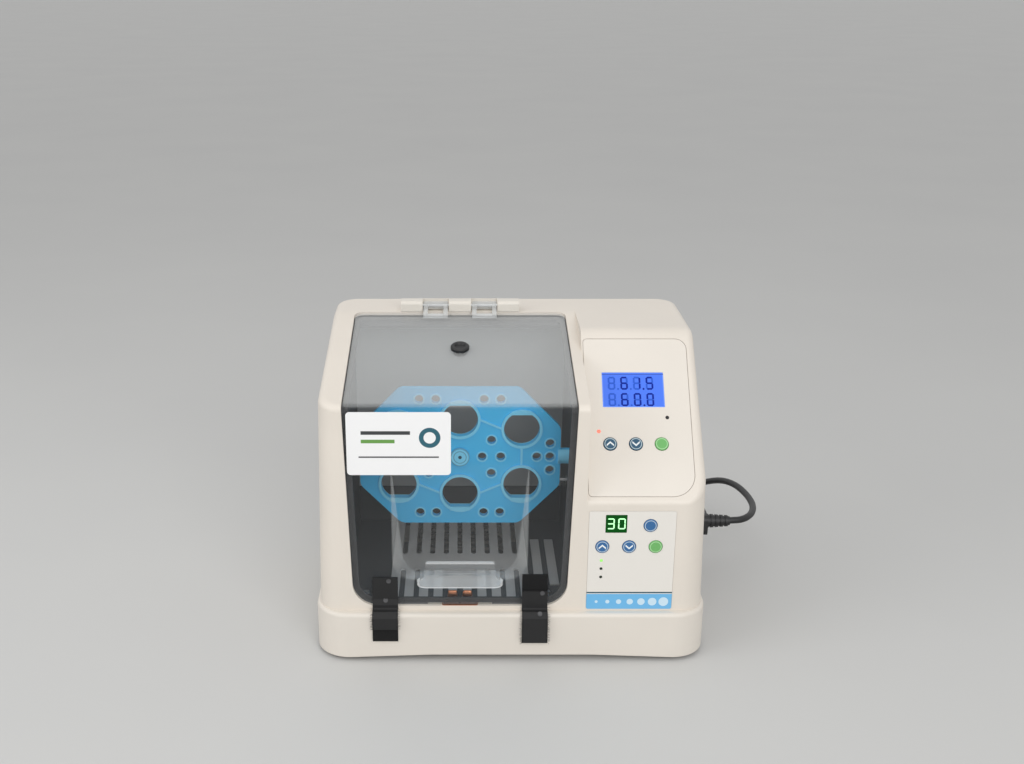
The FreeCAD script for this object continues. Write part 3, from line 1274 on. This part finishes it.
switch = new_body("switch_solid")
pad(switch, "YZ", seat_x, flange,
    [rect(switch_y - at.switch_width / 2, at.inlet_height - at.switch_tall / 2,
          switch_y + at.switch_width / 2, at.inlet_height + at.switch_tall / 2, 1)])
pad(switch, "YZ", seat_x - 16, 16,
    [rect(switch_y - at.switch_width / 2 + 2.6, at.inlet_height - at.switch_tall / 2 + 1.4,
          switch_y + at.switch_width / 2 - 2.6, at.inlet_height + at.switch_tall / 2 - 1.4)])
rocker_x = seat_x + flange - 3.4
rocker_low = switch_y - at.switch_width / 2 + 4.4
rocker_long = at.switch_width - 8.8
socket = cylinder("rocker_socket", at.rocker_radius + 0.15, rocker_long + 0.4,
                  (rocker_x, rocker_low + rocker_long + 0.2, at.inlet_height), ALONG_FRONT)
keep(cut("switch_body", switch, socket))
rocker_round = cylinder("rocker_round", at.rocker_radius, rocker_long,
                        (rocker_x, rocker_low + rocker_long, at.inlet_height), ALONG_FRONT)
rocker_face = new_body("rocker_face")
reach = at.rocker_radius
pad(rocker_face, "XZ", rocker_low - 1, rocker_long + 2,
    [[(rocker_x - reach - 1, at.inlet_height - reach - 1), (rocker_x + 4.3, at.inlet_height - reach - 1),
      (rocker_x + 3.2, at.inlet_height), (rocker_x + 4.9, at.inlet_height + reach + 1),
      (rocker_x - reach - 1, at.inlet_height + reach + 1)]])
keep(common("power_rocker", rocker_round, rocker_face))

# Mains connector: the part inside the socket, the grip and the ribbed boot
grip_x = seat_x + flange + 0.3
boot_x = at.boot_end - 22
plug_in = new_body("connector_solid")
pad(plug_in, "YZ", seat_x - 15.5, grip_x - seat_x + 15.5,
    [rect(inlet_y - at.connector_width / 2, at.inlet_height - at.connector_tall / 2,
          inlet_y + at.connector_width / 2, at.inlet_height + at.connector_tall / 2, 1.5)])
pocket(plug_in, "YZ", seat_x - 16.5, 14.5,
       [rect(y - pin_wide - pin_gap, z - pin_tall - pin_gap, y + pin_wide + pin_gap,
             z + pin_tall + pin_gap) for y, z in pin_spots])
pad(plug_in, "YZ", grip_x, boot_x - grip_x,
    [rect(inlet_y - at.connector_width / 2 - 1.5, at.inlet_height - at.connector_tall / 2 - 1.5,
          inlet_y + at.connector_width / 2 + 1.5, at.inlet_height + at.connector_tall / 2 + 1.5, 5)])
boot_steps = 5
boot_wide = 6.5
boot_profile = [(at.cord_radius + 0.02, 0), (boot_wide, 0)]
boot_length = at.boot_end - boot_x
for i in range(boot_steps):
    begin = boot_length * (i + 0.55) / boot_steps
    end = boot_length * (i + 1) / boot_steps
    boot_profile += [(boot_wide - 0.32 * i - 0.1, begin), (boot_wide - 0.32 * i - 1, begin),
                     (boot_wide - 0.32 * i - 1.1, end), (boot_wide - 0.32 * (i + 1), end)]
boot_profile[-1] = (at.cord_radius + 0.02, boot_length)
boot = turned("connector_boot", boot_profile, (boot_x, inlet_y, at.inlet_height), ALONG_X)
keep(fuse("mains_connector", plug_in, boot))

# Mains cord: out of the boot, round in one loose bend, down behind the casing and into its coil
cord_line = at.inlet_height
coil_edge = at.coil_y + at.coil_radius
cord_points = [vector(boot_x + 1, inlet_y, cord_line), vector(half_width + 52, inlet_y, cord_line),
               vector(half_width + 62, inlet_y + 5, cord_line),
               vector(half_width + 70, inlet_y + 16, cord_line - 0.5),
               vector(half_width + 75, inlet_y + 31, cord_line - 1),
               vector(half_width + 76.5, inlet_y + 48, cord_line - 1.5),
               vector(half_width + 74.5, rear + 7, cord_line - 1.5),
               vector(half_width + 69.5, rear + 27, cord_line - 2),
               vector(half_width + 60.5, rear + 46, 48), vector(half_width + 48, rear + 62, 39),
               vector(half_width + 33, rear + 76, 27), vector(half_width + 15, rear + 87, 14.5),
               vector(half_width - 6, rear + 93.5, 6.2),
               vector(half_width - 29, coil_edge + 0.3, at.cord_radius + 0.3),
               vector(at.coil_x, coil_edge, at.cord_radius + 0.2)]
cord = doc.addObject("Part::Feature", "mains_cord")
cord.Label = "mains_cord"
cord.Shape = tube_along(cord_points, at.cord_radius, name="mains cord")
keep(cord)
outer_turn = at.coil_radius + at.cord_radius
keep(turned("cord_coil", [(at.coil_inner, 0.2), (outer_turn, 0.2), (outer_turn, at.coil_height),
                          (at.coil_inner, at.coil_height)], (at.coil_x, at.coil_y, 0)))

# Mains plug: a moulded grip with two flat blades and a round pin, lying beside the coil
plug_y = at.coil_y + at.coil_radius
plug_z = 11.2
plug_x = at.coil_x - 16
tail = turned("plug_tail", [(0, 0), (4.6, 0), (6.4, 22), (0, 22)], (plug_x - 22, plug_y, plug_z), ALONG_X)
tail.Placement = FreeCAD.Placement(vector(plug_x, plug_y, plug_z - 2),
                                   FreeCAD.Rotation(vector(0, 0, 1), vector(-1, 0, 0.09)))
plug_body = new_body("plug_grip")
grip_start = plug_x - 52
pad(plug_body, "YZ", grip_start, 32, [rect(plug_y - 12.5, plug_z - 11, plug_y + 12.5, plug_z + 11, 6)])
for side in (-1, 1):
    pad(plug_body, "YZ", grip_start - 17, 18,
        [rect(plug_y + side * 6.35 - 0.8, plug_z - 0.2, plug_y + side * 6.35 + 0.8, plug_z + 6.1)])
pad(plug_body, "YZ", grip_start - 19, 20, [], [(plug_y, plug_z - 7.2, 2.4)])
keep(fuse("mains_plug", tail, plug_body))

# Every object must be sound before anything is written
doc.recompute()
failed = [item.Label for item in doc.Objects if {"Invalid", "Error"} & set(item.State)]
if failed:
    raise RuntimeError("failed objects: " + ", ".join(failed))
os.makedirs("parts", exist_ok=True)
for node in nodes:
    shape = node.Shape
    if shape.isNull() or not shape.isValid() or not shape.Solids:
        raise RuntimeError("unsound shape: " + node.Label)
for node in nodes:
    node.Shape.exportStep("parts/%s.step" % node.Label)
print(len(nodes), "parts written")
